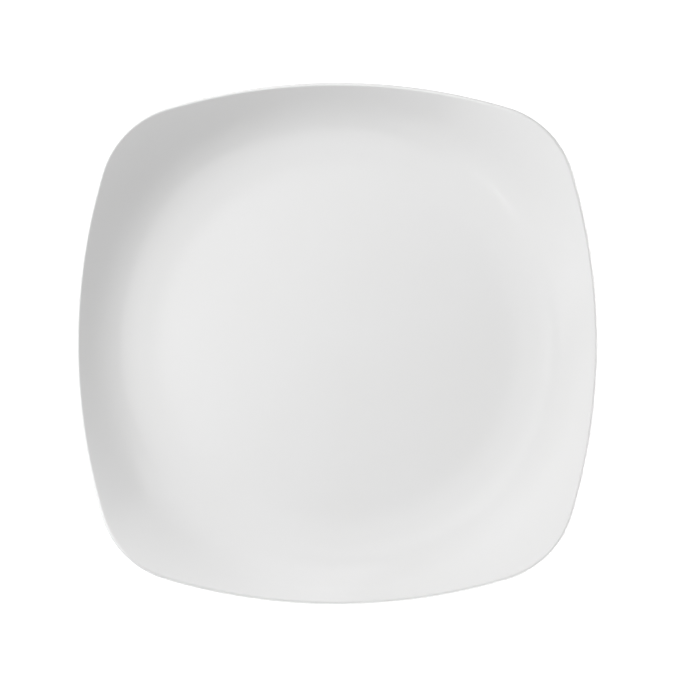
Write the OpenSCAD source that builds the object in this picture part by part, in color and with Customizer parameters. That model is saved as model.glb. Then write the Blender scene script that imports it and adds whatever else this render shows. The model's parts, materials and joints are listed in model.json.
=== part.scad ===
// Square dinner plate in glazed white porcelain.
// The origin is the centre of the plane that the foot ring stands on, +Z is up, and the four
// sides face the X and Y axes. The inside and the underside are turned surfaces: a flat well,
// a soft shoulder and a straight wall. The rim cuts them to a square with bowed sides, so that
// the corners, which lie further out, rise above the middles of the sides.

/* [Outline] */
// Width across the middles of two opposite sides
plate_w = 260; // [236:1:290]
// Radius of the bow of each side
side_r = 287.5; // [220:0.5:420]
// Radius of each rounded corner
corner_r = 48.5; // [36:0.5:62]

/* [Inside] */
// Diameter of the flat floor of the well
well_d = 170; // [150:1:184]
// Radius of the soft bend round the well
well_bend_r = 80; // [40:1:110]
// Slope of the shoulder, in degrees
shoulder_angle = 7; // [4:0.5:10]
// Length of the straight part of the shoulder
shoulder_l = 4.5; // [2:0.5:8]
// Radius of the bend from the shoulder up into the wall
wall_bend_r = 64; // [40:1:80]
// Slope of the wall up to the rim, in degrees
wall_angle = 30; // [22:0.5:36]

/* [Thickness] */
// Thickness of the fired clay under the well
floor_t = 4.4; // [3.5:0.1:6]
// Thickness of the fired clay at the rim
rim_t = 1.8; // [1.6:0.1:3.2]
// Thickness of the glaze
glaze_t = 0.25; // [0.15:0.05:0.4]

/* [Foot ring] */
// Distance of the foot ring's outer side inside the edge of the well
foot_inset = 1; // [0.5:0.5:12]
// Width of the foot ring at its root
foot_t = 5; // [4:0.1:8]
// Height of the glazed base above the standing plane
foot_h = 2.6; // [1.8:0.1:4]
// Lean of the foot ring's two sides, in degrees
foot_lean = 18; // [5:1:22]
// Chamfer ground along the standing edge
foot_chamfer = 0.4; // [0.2:0.1:0.6]
// Height of the bare clay edge, which is wiped free of glaze
bare_h = 1.1; // [0.8:0.1:1.5]

/* [Hidden] */
// Names of the separate pieces
// Facets of the turned surfaces
$fn = 180;
// Steps along each side, round each corner, up the wall and round the lip
side_steps = 14;
corner_steps = 10;
wall_steps = 8;
lip_steps = 6;
// Length by which a joined or cut solid runs past the surface that it meets
overrun = 0.6;

// Outline: each side is an arc about a centre beyond the far side, each corner an arc that
// runs into its two neighbours without a break.
half_w = plate_w / 2;
side_centre = half_w - side_r;
corner_reach = side_r - corner_r;
corner_centre = (side_centre + sqrt(2 * pow(corner_reach, 2) - pow(side_centre, 2))) / 2;
tangent_angle = atan2(corner_centre, corner_centre - side_centre);

// Heights: the finished surface of the base, the underside of the clay, and the well
base_z = foot_h;
clay_z = base_z + glaze_t;
well_z = clay_z + floor_t + glaze_t;
well_r = well_d / 2;
lip_r = rim_t / 2 + glaze_t;

// Foot ring: outer and inner radius at the root, and the glaze's width across its leaning sides
foot_ro = well_r - foot_inset;
foot_ri = foot_ro - foot_t;
side_glaze_t = glaze_t / cos(foot_lean);
// The faceted rim runs in over the foot ring as far as this radius
ring_r = foot_ri - overrun;

clay_colour = [0.94, 0.93, 0.9];
glaze_colour = [0.97, 0.97, 0.97];

function turned(p, angle) = [p.x * cos(angle) - p.y * sin(angle), p.x * sin(angle) + p.y * cos(angle)];
function ray(angle) = [cos(angle), sin(angle)];

// Points of the finished rim, seen from above, counterclockwise from the middle of the arc
// before the first corner.
function side_point(share) =
    [side_centre, 0] + side_r * ray(tangent_angle * (2 * share - 1));
function corner_point(share) =
    [corner_centre, corner_centre]
    + corner_r * ray(tangent_angle + (90 - 2 * tangent_angle) * share);
outline = [
    for (quarter = [0:3]) each concat(
        [for (i = [0:side_steps - 1]) turned(side_point(i / side_steps), 90 * quarter)],
        [for (i = [0:corner_steps - 1]) turned(corner_point(i / corner_steps), 90 * quarter)]
    )
];

// Inside section, and the surface that lies a depth d under it. The bends end at these radii.
function bend_end(d) = well_r + (well_bend_r + d) * sin(shoulder_angle);
function shoulder_end(d) = bend_end(d) + shoulder_l * cos(shoulder_angle);
function wall_start(d) =
    shoulder_end(d) + (wall_bend_r + d) * (sin(wall_angle) - sin(shoulder_angle));

function slope(r, d) =
    r < well_r ? 0
    : r < bend_end(d) ? asin((r - well_r) / (well_bend_r + d))
    : r < shoulder_end(d) ? shoulder_angle
    : r < wall_start(d) ? asin(sin(shoulder_angle) + (r - shoulder_end(d)) / (wall_bend_r + d))
    : wall_angle;

// Height of the finished inside surface at radius r
shoulder_z = well_z + well_bend_r * (1 - cos(shoulder_angle));
wall_bend_z = shoulder_z + shoulder_l * sin(shoulder_angle);
wall_z = wall_bend_z + wall_bend_r * (cos(shoulder_angle) - cos(wall_angle));
function inside_z(r) =
    r < bend_end(0) ? well_z + well_bend_r * (1 - cos(slope(r, 0)))
    : r < shoulder_end(0) ? shoulder_z + (r - bend_end(0)) * tan(shoulder_angle)
    : r < wall_start(0) ? wall_bend_z + wall_bend_r * (cos(shoulder_angle) - cos(slope(r, 0)))
    : wall_z + (r - wall_start(0)) * tan(wall_angle);

// Point that lies a depth d under the finished inside surface, square to it
function under(r, d) =
    let (a = slope(r, 0)) [r + d * sin(a), inside_z(r) - d * cos(a)];

// Thickness of the clay at radius r: it thins from the edge of the well to the lip at the
// middle of a side, and stays so out to the corners, which makes the underside turned too.
thin_r = half_w - 2 * lip_r;
function clay_t(r) =
    floor_t + (rim_t - floor_t) * min(max((r - well_r) / (thin_r - well_r), 0), 1);

function reversed(list) = [for (i = [len(list) - 1:-1:0]) list[i]];

// Half section through the rim at radius rim: inside surface, round lip and underside. An
// inset of 0 gives the finished surface, and an inset of the glaze's thickness the clay.
function section(rim, inset) =
    let (
        tilt = slope(rim - lip_r, lip_r),
        top_end = rim - lip_r - lip_r * sin(tilt),
        lip = under(top_end, lip_r),
        radii = [for (i = [0:wall_steps - 1]) well_r + (top_end - well_r) * i / wall_steps]
    )
    concat(
        [for (r = radii) under(r, inset)],
        [for (i = [0:lip_steps]) lip + (lip_r - inset) * ray(90 + tilt - 180 * i / lip_steps)],
        [for (r = reversed(radii)) under(r, clay_t(r) + 2 * glaze_t - inset)]
    );

section_points = 2 * wall_steps + lip_steps + 1;

// Ring through one closed half section for each point of the outline. From point turn_from of
// the sections on, its squares are parted along their other diagonal, so that a surface whose
// points run backwards still lies face to face with one whose points run forwards.
module rim_ring(sections, turn_from) {
    around = len(sections);
    along = len(sections[0]);
    points = [
        for (i = [0:around - 1]) for (p = sections[i])
            let (angle = atan2(outline[i].y, outline[i].x))
            [p.x * cos(angle), p.x * sin(angle), p.y]
    ];
    faces = [
        for (i = [0:around - 1]) for (j = [0:along - 1])
            let (here = i * along, next = ((i + 1) % around) * along, k = (j + 1) % along)
            each j < turn_from
                ? [[here + j, next + j, here + k], [next + j, next + k, here + k]]
                : [[here + j, next + j, next + k], [here + j, next + k, here + k]]
    ];
    polyhedron(points = points, faces = faces, convexity = 6);
}

// Radius of the foot ring's sides at height z
function foot_outside(z) = foot_ro - (clay_z - z) * tan(foot_lean);
function foot_inside(z) = foot_ri + (clay_z - z) * tan(foot_lean);

// Floor of the well and foot ring, in bare clay
module turned_base() {
    rotate_extrude() polygon([
        [0, clay_z],
        [foot_ri, clay_z],
        [foot_inside(foot_chamfer), foot_chamfer],
        [foot_inside(foot_chamfer) + foot_chamfer, 0],
        [foot_outside(foot_chamfer) - foot_chamfer, 0],
        [foot_outside(foot_chamfer), foot_chamfer],
        [foot_ro, clay_z],
        [foot_ro, clay_z + floor_t],
        [0, clay_z + floor_t]
    ]);
}

// Pressed and fired clay: well, wall, lip and foot ring in one
module porcelain_body() {
    color(clay_colour) union() {
        turned_base();
        rim_ring([for (p = outline) concat(
            [[ring_r, clay_z + floor_t]],
            section(norm(p), glaze_t),
            [[ring_r, clay_z]]
        )], section_points + 2);
    }
}

// Glaze on the foot ring's outer side, down to the bare edge
module foot_glaze() {
    rotate_extrude() polygon([
        [foot_ro, clay_z],
        [foot_outside(bare_h), bare_h],
        [foot_outside(bare_h) + side_glaze_t, bare_h],
        [foot_outside(base_z) + side_glaze_t, base_z],
        [foot_ro + side_glaze_t, clay_z]
    ]);
}

// Glaze over the inside, the lip and the underside, as far in as the foot ring
module outer_glaze() {
    color(glaze_colour) union() {
        difference() {
            rim_ring([for (p = outline) concat(
                [[ring_r, well_z]],
                section(norm(p), 0),
                [[ring_r, base_z], [ring_r, clay_z]],
                reversed(section(norm(p), glaze_t)),
                [[ring_r, clay_z + floor_t]]
            )], section_points + 2);
            translate([0, 0, base_z - overrun])
                cylinder(h = glaze_t + 2 * overrun, r = foot_ro);
        }
        translate([0, 0, clay_z + floor_t]) cylinder(h = glaze_t, r = foot_ro);
        foot_glaze();
    }
}

// Glaze on the base inside the foot ring
module base_glaze() {
    color(glaze_colour) rotate_extrude() polygon([
        [0, base_z],
        [foot_inside(base_z) - side_glaze_t, base_z],
        [foot_inside(bare_h) - side_glaze_t, bare_h],
        [foot_inside(bare_h), bare_h],
        [foot_ri, clay_z],
        [0, clay_z]
    ]);
}

porcelain_body();
outer_glaze();
base_glaze();
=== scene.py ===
import json
import math
import bpy
import bmesh
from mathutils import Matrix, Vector


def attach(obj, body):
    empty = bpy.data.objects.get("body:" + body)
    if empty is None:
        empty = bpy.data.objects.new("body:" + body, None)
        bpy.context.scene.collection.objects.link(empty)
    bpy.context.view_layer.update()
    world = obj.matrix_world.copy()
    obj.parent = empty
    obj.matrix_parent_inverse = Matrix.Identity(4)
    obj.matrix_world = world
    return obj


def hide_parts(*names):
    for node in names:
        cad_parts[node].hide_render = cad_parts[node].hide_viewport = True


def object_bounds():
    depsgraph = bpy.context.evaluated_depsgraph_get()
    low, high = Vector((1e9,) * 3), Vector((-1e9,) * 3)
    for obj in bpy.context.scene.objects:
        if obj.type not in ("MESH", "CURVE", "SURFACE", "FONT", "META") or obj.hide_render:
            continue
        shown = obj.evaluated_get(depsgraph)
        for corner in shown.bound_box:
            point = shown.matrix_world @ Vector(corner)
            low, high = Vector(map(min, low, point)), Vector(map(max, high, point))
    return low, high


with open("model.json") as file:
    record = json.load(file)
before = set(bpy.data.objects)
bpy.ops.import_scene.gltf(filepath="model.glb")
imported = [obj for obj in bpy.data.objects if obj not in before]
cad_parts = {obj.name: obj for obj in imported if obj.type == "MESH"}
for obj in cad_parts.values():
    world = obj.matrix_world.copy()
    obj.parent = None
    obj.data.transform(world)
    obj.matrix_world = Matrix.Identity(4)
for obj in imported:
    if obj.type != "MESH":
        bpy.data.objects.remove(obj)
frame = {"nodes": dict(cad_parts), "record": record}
cadLow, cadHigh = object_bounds()
print("frame loaded")

# Camera first: straight over the plate, framed so that the plate lies where the photograph has it
overheadView = {
    "distance": 2.4,                # from the camera to the outermost line of the rim
    "rimHeight": 0.0185,            # of that line over the table
    "imagePixels": 700,
    "platePixels": (336.9, 343.6),  # middle of the plate in the photograph
    "halfWidthPixels": 260.9,
    "sensorMillimetres": 36,
}


def addCamera():
    v = overheadView
    metresPerPixel = cadHigh.x / v["halfWidthPixels"]
    data = bpy.data.cameras.new("overheadCamera")
    camera = bpy.data.objects.new("overheadCamera", data)
    bpy.context.scene.collection.objects.link(camera)
    camera.location = (0, 0, v["distance"] + v["rimHeight"])
    data.sensor_width = v["sensorMillimetres"]
    data.lens = v["sensorMillimetres"] * v["distance"] / (v["imagePixels"] * metresPerPixel)
    middle = v["imagePixels"] / 2
    data.shift_x = (middle - v["platePixels"][0]) / v["imagePixels"]
    data.shift_y = (v["platePixels"][1] - middle) / v["imagePixels"]
    bpy.context.scene.camera = camera


addCamera()
print("camera placed")

# The plate's outline and section, in metres and radians
mounts = {m["name"]: m for m in frame["record"]["mounts"]}
plate = {
    "halfWidth": cadHigh.x,
    "wellHeight": mounts["well_floor"]["pos_m"][2],
    "sideRadius": 0.2875,
    "cornerRadius": 0.0485,
    "wellRadius": 0.085,
    "wellBend": 0.080,
    "shoulderSlope": math.radians(7),
    "shoulderLength": 0.0045,
    "wallBend": 0.064,
    "wallSlope": math.radians(30),
    "floorClay": 0.0044,
    "rimClay": 0.0018,
    "glaze": 0.00025,
}
baseHeight = plate["wellHeight"] - plate["floorClay"] - 2 * plate["glaze"]
lipRadius = plate["rimClay"] / 2 + plate["glaze"]

# Each side is an arc about a centre past the far side, each corner an arc that runs into both
sideCentre = plate["halfWidth"] - plate["sideRadius"]
cornerReach = plate["sideRadius"] - plate["cornerRadius"]
cornerCentre = (sideCentre + math.sqrt(2 * cornerReach ** 2 - sideCentre ** 2)) / 2
tangentAngle = math.atan2(cornerCentre, cornerCentre - sideCentre)
tangentX = sideCentre + plate["sideRadius"] * math.cos(tangentAngle)
polarTangent = math.atan2(plate["sideRadius"] * math.sin(tangentAngle), tangentX)
cornerTop = math.sqrt(2) * cornerCentre + plate["cornerRadius"]


def wallPoint(radius, depth):  # point outside the well, a depth under the inside and square to it
    p = plate
    sinShoulder, cosShoulder = math.sin(p["shoulderSlope"]), math.cos(p["shoulderSlope"])
    bendEnd = p["wellRadius"] + p["wellBend"] * sinShoulder
    shoulderEnd = bendEnd + p["shoulderLength"] * cosShoulder
    wallStart = shoulderEnd + p["wallBend"] * (math.sin(p["wallSlope"]) - sinShoulder)
    height = p["wellHeight"]
    if radius < bendEnd:
        slope = math.asin((radius - p["wellRadius"]) / p["wellBend"])
        height += p["wellBend"] * (1 - math.cos(slope))
    else:
        height += p["wellBend"] * (1 - cosShoulder)
        if radius < shoulderEnd:
            slope = p["shoulderSlope"]
            height += (radius - bendEnd) * math.tan(slope)
        else:
            height += p["shoulderLength"] * sinShoulder
            along = min(sinShoulder + (radius - shoulderEnd) / p["wallBend"], 1)
            slope = min(math.asin(along), p["wallSlope"])
            height += p["wallBend"] * (cosShoulder - math.cos(slope))
            if radius > wallStart:
                height += (radius - wallStart) * math.tan(p["wallSlope"])
    return Vector((radius + depth * math.sin(slope), 0, height - depth * math.cos(slope)))


def wallDepth(radius):  # clay and both glazes, thinning from the well to the rim
    thinRadius = plate["halfWidth"] - 2 * lipRadius
    share = min((radius - plate["wellRadius"]) / (thinRadius - plate["wellRadius"]), 1)
    clay = plate["floorClay"] + (plate["rimClay"] - plate["floorClay"]) * share
    return clay + 2 * plate["glaze"]


print("sizes set")

# Small helpers round Blender's own operators
seedSize = 0.01  # side of the plane that each first vertex is merged from


def editMode():
    bpy.ops.object.mode_set(mode="EDIT")
    bpy.ops.mesh.select_mode(type="VERT")


def objectMode():
    bpy.ops.object.mode_set(mode="OBJECT")


def mergeAt(place):  # the selected plane becomes one vertex at the place
    bpy.ops.mesh.merge(type="CENTER")
    bpy.ops.transform.translate(value=place)


def addPoint(place):  # a lone vertex in the piece that is being edited
    bpy.ops.mesh.select_all(action="DESELECT")
    bpy.ops.mesh.primitive_plane_add(size=seedSize, location=(0, 0, 0))
    mergeAt(place)


def newPiece(name, place):  # object at the origin in edit mode, with one vertex at the place
    bpy.ops.object.select_all(action="DESELECT")
    bpy.ops.mesh.primitive_plane_add(size=seedSize, location=(0, 0, 0))
    piece = bpy.context.object
    piece.name = piece.data.name = name
    editMode()
    bpy.ops.mesh.select_all(action="SELECT")
    mergeAt(place)
    return piece


def extrudeBy(step):
    bpy.ops.mesh.extrude_region_move(TRANSFORM_OT_translate={"value": step})


def resizeTo(scale):  # level, about the middle of the plate
    bpy.ops.transform.resize(value=(scale, scale, 1), center_override=(0, 0, 0))


def selectVerts(piece, test):
    mesh = bmesh.from_edit_mesh(piece.data)
    for vert in mesh.verts:
        vert.select = False
    for vert in mesh.verts:
        if test(vert):
            vert.select = True
    mesh.select_flush_mode()
    bmesh.update_edit_mesh(piece.data)


def reach(point):
    return math.hypot(point.x, point.y)


def useOnly(piece):
    bpy.ops.object.select_all(action="DESELECT")
    piece.select_set(True)
    bpy.context.view_layer.objects.active = piece


def applyModifier(piece, kind, **settings):
    useOnly(piece)
    modifier = piece.modifiers.new(kind.lower(), kind)
    for key, value in settings.items():
        setattr(modifier, key, value)
    bpy.ops.object.modifier_apply(modifier=modifier.name)


# Turned moulds that the two faces of the wall are pressed against
mould = {
    "innerMargin": 0.0002,  # past the well's edge, which the mould leaves where it is
    "outerMargin": 0.004,
    "profileSteps": 200,
    "turnSteps": 720,
    "closeness": 1e-7,
}


def turnMould(name, depthAt):
    lowest = plate["wellRadius"] + mould["innerMargin"]
    span = cornerTop + mould["outerMargin"] - lowest
    here = wallPoint(lowest, depthAt(lowest))
    piece = newPiece(name, here)
    for i in range(mould["profileSteps"]):
        radius = lowest + span * (i + 1) / mould["profileSteps"]
        there = wallPoint(radius, depthAt(radius))
        extrudeBy(there - here)
        here = there
    objectMode()
    steps = mould["turnSteps"]
    applyModifier(piece, "SCREW", axis="Z", angle=2 * math.pi, steps=steps, render_steps=steps,
                  use_merge_vertices=True, merge_threshold=mould["closeness"])
    return piece


insideMould = turnMould("insideMould", lambda radius: 0)
undersideMould = turnMould("undersideMould", wallDepth)
print("moulds turned")

# Loops round the plate: points on the sides and corners of one lie over those of the next
loops = {
    "sideSteps": 64,
    "cornerSteps": 18,
    "closeness": 0.00002,  # points nearer than this are one
    "boxMargin": 0.00001,  # keeps the rim inside the frame's box
    "discRings": (0.070, 0.045, 0.020, 0.006),
}


def outlineLoop(inset):  # the rim's outline, or a line that lies an inset inside it
    return {
        "sideCentre": sideCentre,
        "sideRadius": plate["sideRadius"] - loops["boxMargin"] - inset,
        "sideSweep": 2 * tangentAngle,
        "cornerCentre": cornerCentre,
        "cornerRadius": plate["cornerRadius"] - loops["boxMargin"] - inset,
    }


def roundLoop(radius):
    return {
        "sideCentre": 0,
        "sideRadius": radius,
        "sideSweep": 2 * polarTangent,
        "cornerCentre": 0,
        "cornerRadius": radius,
    }


def loopStart(loop, height):
    angle = -loop["sideSweep"] / 2
    reachX = loop["sideCentre"] + loop["sideRadius"] * math.cos(angle)
    return Vector((reachX, loop["sideRadius"] * math.sin(angle), height))


def spinArc(steps, sweep, centre, turn):  # about -Z, because the operator turns clockwise about +Z
    place = (centre * math.cos(turn), centre * math.sin(turn), 0)
    bpy.ops.mesh.spin(steps=steps, angle=sweep, center=place, axis=(0, 0, -1))


def spinLoop(loop):  # eight arcs from the selected vertex, once round
    for quarter in range(4):
        turn = math.pi / 2 * quarter
        spinArc(loops["sideSteps"], loop["sideSweep"], loop["sideCentre"], turn)
        spinArc(loops["cornerSteps"], math.pi / 2 - loop["sideSweep"],
                loop["cornerCentre"] * math.sqrt(2), turn + math.pi / 4)


def onRing(vert, radius, height):
    near = loops["closeness"]
    return abs(reach(vert.co) - radius) < near and abs(vert.co.z - height) < near


def mergeDoubles():
    bpy.ops.mesh.select_all(action="SELECT")
    bpy.ops.mesh.remove_doubles(threshold=loops["closeness"])
    bpy.ops.mesh.select_all(action="SELECT")


def wallSheet(name, inner, outer, height, cuts):  # flat sheet between two loops
    piece = newPiece(name, loopStart(inner, height))
    spinLoop(inner)
    addPoint(loopStart(outer, height))
    spinLoop(outer)
    mergeDoubles()
    bpy.ops.mesh.bridge_edge_loops(number_cuts=cuts, interpolation="LINEAR")
    return piece


def closeDisc(piece, height, radius):  # from an open round loop in to its middle
    selectVerts(piece, lambda v: onRing(v, radius, height))
    for ring in loops["discRings"]:
        extrudeBy((0, 0, 0))
        resizeTo(ring / radius)
        radius = ring
    extrudeBy((0, 0, 0))
    bpy.ops.mesh.merge(type="CENTER")


def pressOn(piece, mouldPiece):
    applyModifier(piece, "SHRINKWRAP", wrap_method="PROJECT", target=mouldPiece, use_project_z=True,
                  use_negative_direction=True, use_positive_direction=True)


# Foot ring: its radii are those of the clay at the root, where the clay's flat underside is
foot = {
    "outerRadius": 0.084,
    "innerRadius": 0.079,
    "lean": math.radians(18),
    "bareHeight": 0.0011,
    "chamfer": 0.0004,
    "chamferSteps": 4,
    "fillet": 0.0007,
    "filletSteps": 5,
    "edgeMargin": 0.0004,  # the bare clay's open edges are found within this
}
sideGlaze = plate["glaze"] / math.cos(foot["lean"])  # level width of the glaze on a leaning side


def footSide(sign, height, glazed):  # radius of a side of the ring at a height, +1 outer, -1 inner
    root = foot["outerRadius"] if sign > 0 else foot["innerRadius"]
    depth = baseHeight + plate["glaze"] - height
    return root - sign * depth * math.tan(foot["lean"]) + sign * (sideGlaze if glazed else 0)


def extrudeRing(radius, height, newRadius, newHeight):  # the selected round loop, to a new place
    extrudeBy((0, 0, newHeight - height))
    resizeTo(newRadius / radius)


def roundOff(piece, radius, height, width, steps):  # bevels one round edge
    selectVerts(piece, lambda v: onRing(v, radius, height))
    bpy.ops.mesh.bevel(offset=width, segments=steps, affect="EDGES")


def faceOutwards(piece, middleFacesUp):
    bpy.ops.mesh.select_all(action="SELECT")
    bpy.ops.mesh.normals_make_consistent(inside=False)
    mesh = bmesh.from_edit_mesh(piece.data)
    middle = min(mesh.faces, key=lambda f: reach(f.calc_center_median()))
    if (middle.normal.z > 0) != middleFacesUp:
        bpy.ops.mesh.flip_normals()


def copyOf(piece, name):
    useOnly(piece)
    bpy.ops.object.duplicate()
    copy = bpy.context.object
    copy.name = copy.data.name = name
    return copy


def joinInto(piece, other):
    useOnly(piece)
    other.select_set(True)
    bpy.ops.object.join()


# Glaze over the inside, the lip, the underside and the outside of the foot ring
skin = {
    "wallCuts": 36,
    "lipShare": 0.985,  # share of the half thickness that each edge of the rim is rounded by
    "lipSteps": 7,
    "sharpEdge": math.radians(70),
}


def cutInset(sign):  # of the square-cut rim's upper (+1) or lower (-1) edge, before it is rounded
    slope = plate["wallSlope"]
    return lipRadius * (1 + sign * math.sin(slope) - math.cos(slope))


def makeInsideFace():
    face = wallSheet("whiteGlazeOuter", roundLoop(plate["wellRadius"]), outlineLoop(cutInset(+1)),
                     plate["wellHeight"], skin["wallCuts"])
    closeDisc(face, plate["wellHeight"], plate["wellRadius"])
    objectMode()
    pressOn(face, insideMould)
    return face


def makeUnderFace():
    face = wallSheet("underFace", roundLoop(plate["wellRadius"]), outlineLoop(cutInset(-1)),
                     baseHeight, skin["wallCuts"])
    footTop = footSide(+1, baseHeight, True)
    selectVerts(face, lambda v: onRing(v, plate["wellRadius"], baseHeight))
    extrudeRing(plate["wellRadius"], baseHeight, footTop, baseHeight)
    bareRadius = footSide(+1, foot["bareHeight"], True)
    extrudeRing(footTop, baseHeight, bareRadius, foot["bareHeight"])
    roundOff(face, footTop, baseHeight, foot["fillet"], foot["filletSteps"])
    objectMode()
    pressOn(face, undersideMould)
    return face


def makeOuterFace():  # both faces of the wall, joined at a square-cut rim that is then rounded
    face = makeInsideFace()
    joinInto(face, makeUnderFace())
    editMode()
    selectVerts(face, lambda v: v.is_boundary and reach(v.co) > plate["wellRadius"] + lipRadius)
    bpy.ops.mesh.bridge_edge_loops()
    faceOutwards(face, True)
    bpy.ops.mesh.select_all(action="DESELECT")
    bpy.ops.mesh.select_mode(type="EDGE")
    bpy.ops.mesh.edges_select_sharp(sharpness=skin["sharpEdge"])
    bpy.ops.mesh.bevel(offset=lipRadius * skin["lipShare"], segments=skin["lipSteps"],
                       affect="EDGES")
    objectMode()
    return face


outerFace = makeOuterFace()
bpy.data.objects.remove(insideMould)
bpy.data.objects.remove(undersideMould)
print("outer face pressed")


# Glaze on the base inside the foot ring
def makeBaseFace():
    lowRadius = footSide(-1, foot["bareHeight"], True)
    topRadius = footSide(-1, baseHeight, True)
    face = newPiece("whiteGlazeBase", loopStart(roundLoop(lowRadius), foot["bareHeight"]))
    spinLoop(roundLoop(lowRadius))
    mergeDoubles()
    extrudeRing(lowRadius, foot["bareHeight"], topRadius, baseHeight)
    closeDisc(face, baseHeight, topRadius)
    roundOff(face, topRadius, baseHeight, foot["fillet"], foot["filletSteps"])
    faceOutwards(face, False)
    objectMode()
    return face


baseFace = makeBaseFace()
print("base face spun")


# Clay under both glazes: their faces moved in by the glaze, and closed round the standing edge
def makeClay():
    clay = copyOf(outerFace, "porcelainClay")
    joinInto(clay, copyOf(baseFace, "baseClay"))
    editMode()
    bpy.ops.mesh.select_all(action="SELECT")
    bpy.ops.transform.shrink_fatten(value=-plate["glaze"], use_even_offset=True)
    edgeHeight = foot["bareHeight"] + plate["glaze"] * math.sin(foot["lean"])
    edgeInset = plate["glaze"] * math.cos(foot["lean"])
    for sign in (+1, -1):
        edgeRadius = footSide(sign, foot["bareHeight"], True) - sign * edgeInset
        near = foot["edgeMargin"]
        selectVerts(clay, lambda v: v.is_boundary and abs(reach(v.co) - edgeRadius) < near)
        extrudeRing(edgeRadius, edgeHeight, footSide(sign, 0, False), 0)
    selectVerts(clay, lambda v: v.is_boundary)
    bpy.ops.mesh.bridge_edge_loops()
    for sign in (+1, -1):
        roundOff(clay, footSide(sign, 0, False), 0, foot["chamfer"], foot["chamferSteps"])
    faceOutwards(clay, True)
    objectMode()
    return clay


clay = makeClay()
print("clay closed")

for face in (outerFace, baseFace):
    applyModifier(face, "SOLIDIFY", thickness=plate["glaze"], offset=-1, use_even_offset=True)
print("glaze given its thickness")

# Finishes
smoothBelow = math.radians(35)  # edges that turn less than this are shaded smooth
noiseRange = (0.3, 0.7)         # nearly all values of a noise lie between these


def newMaterial(name):
    material = bpy.data.materials.new(name)
    material.use_nodes = True
    nodes = material.node_tree.nodes
    return material, nodes, material.node_tree.links, nodes["Principled BSDF"]


def addNoise(nodes, links, coordinates, pattern):
    noise = nodes.new("ShaderNodeTexNoise")
    noise.inputs["Scale"].default_value = pattern["scale"]
    noise.inputs["Detail"].default_value = pattern["detail"]
    links.new(coordinates.outputs["Object"], noise.inputs["Vector"])
    return noise.outputs["Fac"]


def rescale(nodes, links, value, old, new):  # a value that runs over the old range, over the new
    scaled = nodes.new("ShaderNodeMapRange")
    for side, numbers in (("From", old), ("To", new)):
        scaled.inputs[side + " Min"].default_value = numbers[0]
        scaled.inputs[side + " Max"].default_value = numbers[1]
    links.new(value, scaled.inputs["Value"])
    return scaled.outputs["Result"]


def combine(nodes, links, operation, first, second):
    result = nodes.new("ShaderNodeMath")
    result.operation = operation
    links.new(first, result.inputs[0])
    links.new(second, result.inputs[1])
    return result.outputs["Value"]


def blendColours(nodes, links, factor, first, second):
    blend = nodes.new("ShaderNodeMix")
    blend.data_type = "RGBA"
    blend.inputs["A"].default_value = (*first, 1)
    blend.inputs["B"].default_value = (*second, 1)
    links.new(factor, blend.inputs["Factor"])
    return blend.outputs["Result"]


def addBump(nodes, links, noise, height):
    bump = nodes.new("ShaderNodeBump")
    bump.inputs["Distance"].default_value = height
    links.new(noise, bump.inputs["Height"])
    return bump


glazeFinish = {
    "colour": (0.800, 0.800, 0.800),
    "thinColour": (0.792, 0.791, 0.788),
    "cloud": {"scale": 22, "detail": 3},
    "roughness": (0.13, 0.19),
    "smear": {"scale": 60, "detail": 4},
    "wave": {"scale": 35, "detail": 1},
    "waveHeight": 0.00002,
    "grain": {"scale": 900, "detail": 2},
    "grainHeight": 0.000002,
}


def makeGlazeMaterial():
    f = glazeFinish
    material, nodes, links, shader = newMaterial("whiteGlaze")
    coordinates = nodes.new("ShaderNodeTexCoord")
    cloud = rescale(nodes, links, addNoise(nodes, links, coordinates, f["cloud"]), noiseRange, (0, 1))
    colour = blendColours(nodes, links, cloud, f["colour"], f["thinColour"])
    links.new(colour, shader.inputs["Base Color"])
    smear = addNoise(nodes, links, coordinates, f["smear"])
    links.new(rescale(nodes, links, smear, noiseRange, f["roughness"]), shader.inputs["Roughness"])
    wave = addBump(nodes, links, addNoise(nodes, links, coordinates, f["wave"]), f["waveHeight"])
    grain = addBump(nodes, links, addNoise(nodes, links, coordinates, f["grain"]), f["grainHeight"])
    links.new(wave.outputs["Normal"], grain.inputs["Normal"])
    links.new(grain.outputs["Normal"], shader.inputs["Normal"])
    return material


clayFinish = {
    "colour": (0.80, 0.78, 0.74),
    "wornColour": (0.66, 0.63, 0.58),
    "wornHeight": 0.0003,
    "scuff": {"scale": 180, "detail": 4},
    "scuffRange": (0.2, 1),
    "roughness": (0.62, 0.78),
    "grain": {"scale": 1500, "detail": 3},
    "grainHeight": 0.00003,
}


def makeClayMaterial():
    f = clayFinish
    material, nodes, links, shader = newMaterial("barePorcelain")
    coordinates = nodes.new("ShaderNodeTexCoord")
    place = nodes.new("ShaderNodeSeparateXYZ")
    links.new(coordinates.outputs["Object"], place.inputs["Vector"])
    worn = rescale(nodes, links, place.outputs["Z"], (0, f["wornHeight"]), (1, 0))
    scuff = addNoise(nodes, links, coordinates, f["scuff"])
    scuffs = rescale(nodes, links, scuff, noiseRange, f["scuffRange"])
    wear = combine(nodes, links, "MULTIPLY", worn, scuffs)
    colour = blendColours(nodes, links, wear, f["colour"], f["wornColour"])
    links.new(colour, shader.inputs["Base Color"])
    grain = addNoise(nodes, links, coordinates, f["grain"])
    links.new(rescale(nodes, links, grain, noiseRange, f["roughness"]), shader.inputs["Roughness"])
    relief = addBump(nodes, links, grain, f["grainHeight"])
    links.new(relief.outputs["Normal"], shader.inputs["Normal"])
    return material


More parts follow.
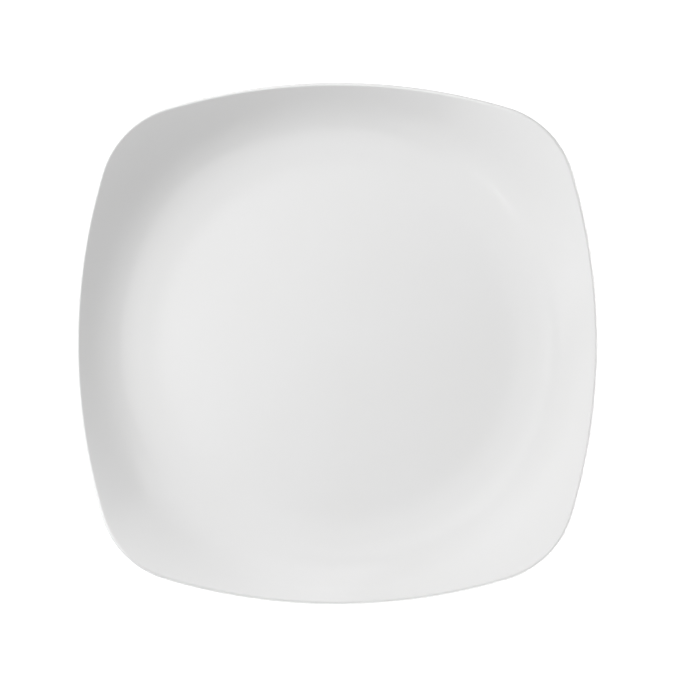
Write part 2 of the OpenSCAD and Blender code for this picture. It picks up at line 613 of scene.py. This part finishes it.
def finishPiece(piece, material, node):
    useOnly(piece)
    bpy.ops.object.shade_smooth()
    bpy.ops.object.shade_smooth_by_angle(angle=smoothBelow)
    for mesh in (piece.data, frame["nodes"][node].data):
        mesh.materials.clear()
        mesh.materials.append(material)
    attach(piece, "root")
    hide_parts(node)
    piece.data.calc_loop_triangles()
    print(piece.name, len(piece.data.loop_triangles), "triangles",
          [round(c * 1000, 3) for c in piece.dimensions])


glazeMaterial = makeGlazeMaterial()
clayMaterial = makeClayMaterial()
finishPiece(outerFace, glazeMaterial, "outer_glaze")
finishPiece(baseFace, glazeMaterial, "base_glaze")
finishPiece(clay, clayMaterial, "porcelain_body")

# Floor: pale and plain, white to the camera and in reflections, with the plate's shadow on it
floorLook = {"size": 6, "colour": (0.55, 0.55, 0.55), "glow": 0.73}


def showsWhite(nodes, links):  # 1 for rays that see the surroundings, 0 for rays that light things
    path = nodes.new("ShaderNodeLightPath")
    total = path.outputs["Is Camera Ray"]
    for ray in ("Is Glossy Ray", "Is Transmission Ray"):
        total = combine(nodes, links, "MAXIMUM", total, path.outputs[ray])
    return total


def addFloor():
    bpy.ops.object.select_all(action="DESELECT")
    bpy.ops.mesh.primitive_plane_add(size=floorLook["size"], location=(0, 0, 0))
    floor = bpy.context.object
    floor.name = "studioFloor"
    material, nodes, links, shader = newMaterial("paleFloor")
    shader.inputs["Base Color"].default_value = (*floorLook["colour"], 1)
    shader.inputs["Roughness"].default_value = 1
    shader.inputs["Specular IOR Level"].default_value = 0
    shader.inputs["Emission Color"].default_value = (1, 1, 1, 1)
    glow = rescale(nodes, links, showsWhite(nodes, links), (0, 1), (0, floorLook["glow"]))
    links.new(glow, shader.inputs["Emission Strength"])
    floor.data.materials.append(material)


addFloor()

# Light: a low soft box near the upper left, one overhead that a wider one over it gives a soft
# edge, weaker ones at the upper right and the lower left, a small one whose reflection is the faint
# arc at the upper right, and two cards that lie lower than the rim and light only the outside
fill = {"strength": 0.06}
lamps = {
    "key": {"azimuth": 150, "elevation": 19, "distance": 0.52, "size": (0.7, 0.3), "watts": 3.0},
    "top": {"azimuth": 0, "elevation": 90, "distance": 1.2, "size": (1.0, 1.0), "watts": 4.0},
    "topWide": {"azimuth": 0, "elevation": 90, "distance": 1.3, "size": (2.05, 2.05), "watts": 3.95},
    "right": {"azimuth": 65, "elevation": 46, "distance": 2.5, "size": (2.0, 1.5), "watts": 11.0},
    "low": {"azimuth": 218, "elevation": 46, "distance": 2.5, "size": (2.0, 1.5), "watts": 8.9},
    "glint": {"azimuth": 222, "elevation": 60, "distance": 2.5, "size": (0.6, 0.1), "watts": 0.22},
    "rightCard": {"azimuth": 350, "elevation": 2, "distance": 0.3, "size": (0.5, 0.018), "watts": 0.55},
    "frontCard": {"azimuth": 280, "elevation": 2, "distance": 0.3, "size": (0.5, 0.018), "watts": 0.45},
}
notMirrored = ("key",)  # seen from the right, its mirror image would turn the well plain white


def addLamp(name, lamp, mirrored):  # facing the plate, its azimuth measured from +X towards +Y
    azimuth, elevation = math.radians(lamp["azimuth"]), math.radians(lamp["elevation"])
    level = math.cos(elevation)
    toLamp = Vector((level * math.cos(azimuth), level * math.sin(azimuth), math.sin(elevation)))
    data = bpy.data.lights.new(name, "AREA")
    data.shape = "RECTANGLE"
    data.size, data.size_y = lamp["size"]
    data.energy = lamp["watts"]
    light = bpy.data.objects.new(name, data)
    bpy.context.scene.collection.objects.link(light)
    light.location = toLamp * lamp["distance"]
    light.rotation_euler = toLamp.to_track_quat("Z", "Y").to_euler()
    light.visible_camera = False
    light.visible_glossy = mirrored


for name, lamp in lamps.items():
    addLamp(name + "Lamp", lamp, name not in notMirrored)


def addSurroundings():  # white to the camera and in reflections, and a little light all round
    world = bpy.data.worlds.new("studio")
    bpy.context.scene.world = world
    world.use_nodes = True
    nodes, links = world.node_tree.nodes, world.node_tree.links
    strength = rescale(nodes, links, showsWhite(nodes, links), (0, 1), (fill["strength"], 1))
    links.new(strength, nodes["Background"].inputs["Strength"])
    nodes["Background"].inputs["Color"].default_value = (1, 1, 1, 1)


addSurroundings()
bpy.context.scene.view_settings.view_transform = "Standard"
print("floor and light set")
